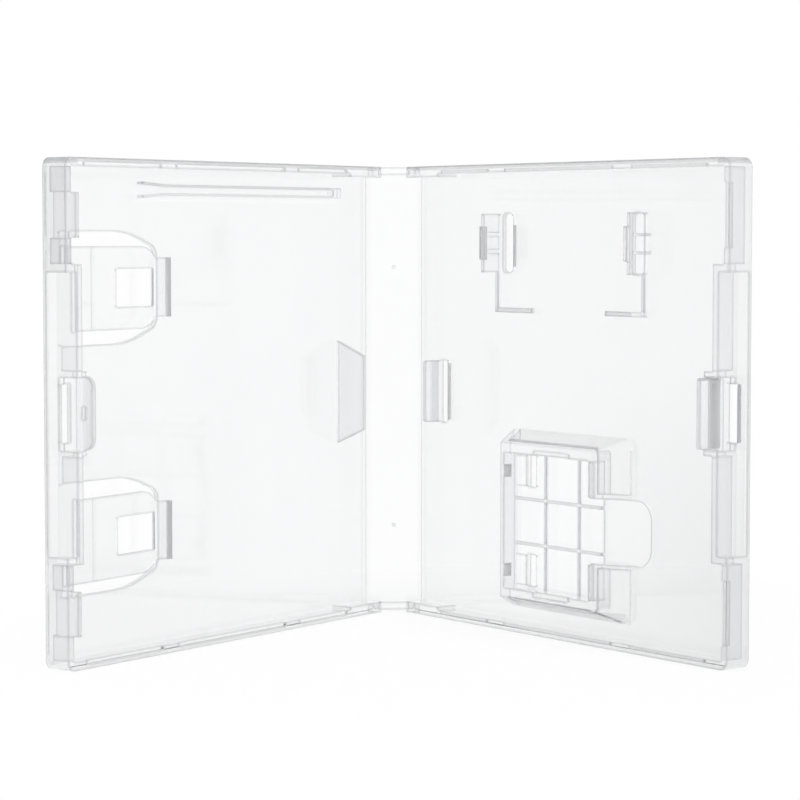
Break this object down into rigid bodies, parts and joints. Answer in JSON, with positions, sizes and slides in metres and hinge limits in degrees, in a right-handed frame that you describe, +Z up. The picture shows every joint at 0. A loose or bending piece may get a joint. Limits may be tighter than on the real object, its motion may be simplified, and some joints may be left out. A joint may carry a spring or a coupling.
{
  "type": "game card storage box",
  "caption": "Clear hinged case standing open like a book, with a holder for a game card, clips for a cartridge and booklet, a latch along the opening edge and a clear outer sleeve.",
  "frame": {"origin": "on the underside of the back cover's lower edge, midway along it and midway through its depth", "axes": "+X along the back cover away from its hinge, +Y out of the back cover's outer face, +Z up"},
  "size_m": [0.1436, 0.1403, 0.125],
  "materials": {
    "case_plastic": "clear, slightly frosted",
    "sleeve_film": "clear glossy film"
  },
  "bodies": {
    "back_cover": {"back_cover": "case_plastic", "back_sleeve": "sleeve_film"},
    "spine": {"spine": "case_plastic", "spine_sleeve": "sleeve_film"},
    "front_cover": {"front_cover": "case_plastic", "front_sleeve": "sleeve_film"}
  },
  "joints": [
    {"name": "back_hinge", "type": "hinge", "parent": "back_cover", "child": "spine", "pos_m": [-0.067, 0.0034, 0.0625], "axis": [0, 0, 1], "range_deg": [-54.4, 35.6]},
    {"name": "front_hinge", "type": "hinge", "parent": "spine", "child": "front_cover", "pos_m": [-0.07614, -0.00937, 0.0625], "axis": [0, 0, 1], "range_deg": [-54.4, 35.6]}
  ]
}
